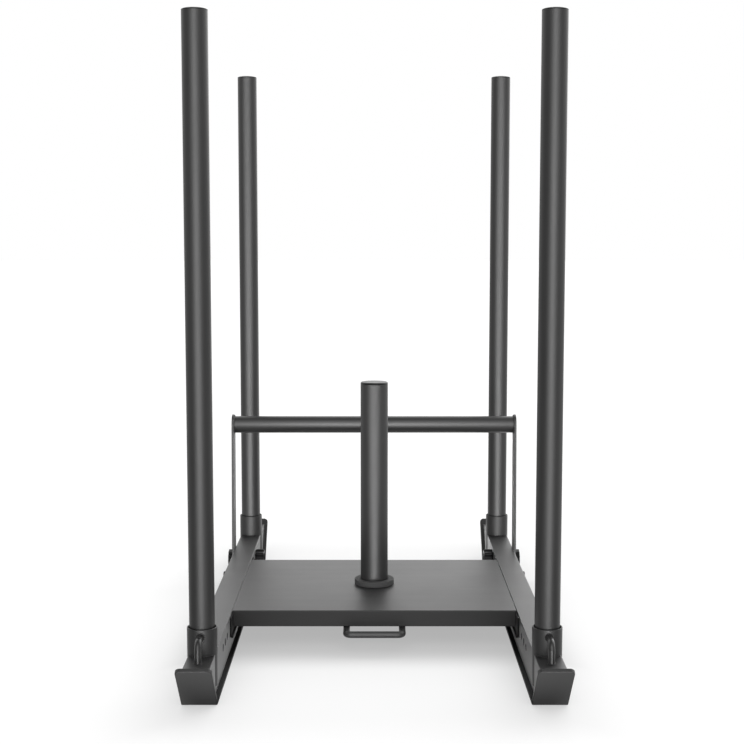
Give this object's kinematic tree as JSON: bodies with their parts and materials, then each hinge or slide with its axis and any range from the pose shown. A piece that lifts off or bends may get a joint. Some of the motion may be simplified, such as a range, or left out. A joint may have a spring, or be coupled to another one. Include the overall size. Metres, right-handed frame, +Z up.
{
  "type": "weight sled",
  "caption": "Steel push sled: runner rails, a plate-loading deck with an upright weight post, tall lift-out push posts at the corners and a hinged low push bar.",
  "frame": {"origin": "on the floor, at the middle of the sled's length and width", "axes": "+Y from the front (pull loop side) to the rear (low handle side), +X to the right seen from the front, +Z up"},
  "size_m": [0.5792, 1.0354, 1.0048],
  "materials": {
    "powder_coat": "dark grey satin powder coat with a fine orange peel",
    "black_plastic": "black moulded plastic, fine grain",
    "runner_plastic": "black sliding plastic, satin",
    "black_steel": "black oxide steel, satin",
    "zinc_steel": "bright zinc plating"
  },
  "bodies": {
    "frame": {"left_rail": "powder_coat", "left_runner": "runner_plastic", "right_rail": "powder_coat", "right_runner": "runner_plastic", "front_left_tip_plate": "powder_coat", "front_left_socket": "powder_coat", "front_left_tow_loop": "powder_coat", "front_left_deck_bolt": "black_steel", "front_left_deck_nut": "black_steel", "front_left_runner_screw": "black_steel", "front_right_tip_plate": "powder_coat", "front_right_socket": "powder_coat", "front_right_tow_loop": "powder_coat", "front_right_deck_bolt": "black_steel", "front_right_deck_nut": "black_steel", "front_right_runner_screw": "black_steel", "rear_left_tip_plate": "powder_coat", "rear_left_socket": "powder_coat", "rear_left_tow_loop": "powder_coat", "rear_left_deck_bolt": "black_steel", "rear_left_deck_nut": "black_steel", "rear_left_runner_screw": "black_steel", "rear_right_tip_plate": "powder_coat", "rear_right_socket": "powder_coat", "rear_right_tow_loop": "powder_coat", "rear_right_deck_bolt": "black_steel", "rear_right_deck_nut": "black_steel", "rear_right_runner_screw": "black_steel", "deck_plate": "powder_coat", "left_deck_bracket": "powder_coat", "right_deck_bracket": "powder_coat", "front_deck_rib": "powder_coat", "rear_deck_rib": "powder_coat", "deck_pull_loop": "powder_coat", "weight_post": "powder_coat", "weight_post_cap": "black_plastic", "weight_post_collar": "powder_coat", "weight_post_foot": "zinc_steel", "weight_post_washer": "zinc_steel", "weight_post_bolt": "zinc_steel", "left_pivot_bolt": "black_plastic", "right_pivot_bolt": "black_plastic"},
    "front_left_push_post": {"front_left_post": "powder_coat", "front_left_post_cap": "black_plastic", "front_left_post_foot": "black_plastic"},
    "front_right_push_post": {"front_right_post": "powder_coat", "front_right_post_cap": "black_plastic", "front_right_post_foot": "black_plastic"},
    "rear_left_push_post": {"rear_left_post": "powder_coat", "rear_left_post_cap": "black_plastic", "rear_left_post_foot": "black_plastic"},
    "rear_right_push_post": {"rear_right_post": "powder_coat", "rear_right_post_cap": "black_plastic", "rear_right_post_foot": "black_plastic"},
    "low_handle": {"handle_bar": "powder_coat", "left_handle_arm": "powder_coat", "right_handle_arm": "powder_coat"},
    "left_knob": {"left_pivot_knob": "black_plastic"},
    "right_knob": {"right_pivot_knob": "black_plastic"}
  },
  "joints": [
    {"name": "front_left_post_lift", "type": "slide", "parent": "frame", "child": "front_left_push_post", "axis": [0, 0, 1], "range_m": [0, 0.1]},
    {"name": "front_right_post_lift", "type": "slide", "parent": "frame", "child": "front_right_push_post", "axis": [0, 0, 1], "range_m": [0, 0.1]},
    {"name": "rear_left_post_lift", "type": "slide", "parent": "frame", "child": "rear_left_push_post", "axis": [0, 0, 1], "range_m": [0, 0.1]},
    {"name": "rear_right_post_lift", "type": "slide", "parent": "frame", "child": "rear_right_push_post", "axis": [0, 0, 1], "range_m": [0, 0.1]},
    {"name": "low_handle_fold", "type": "hinge", "parent": "frame", "child": "low_handle", "pos_m": [0, 0.28, 0.043], "axis": [1, 0, 0], "range_deg": [-16, 64]},
    {"name": "left_knob_turn", "type": "hinge", "parent": "frame", "child": "left_knob", "pos_m": [-0.2362, 0.28, 0.043], "axis": [1, 0, 0], "range_deg": [0, 720]},
    {"name": "right_knob_turn", "type": "hinge", "parent": "frame", "child": "right_knob", "pos_m": [0.2362, 0.28, 0.043], "axis": [-1, 0, 0], "range_deg": [0, 720]}
  ]
}
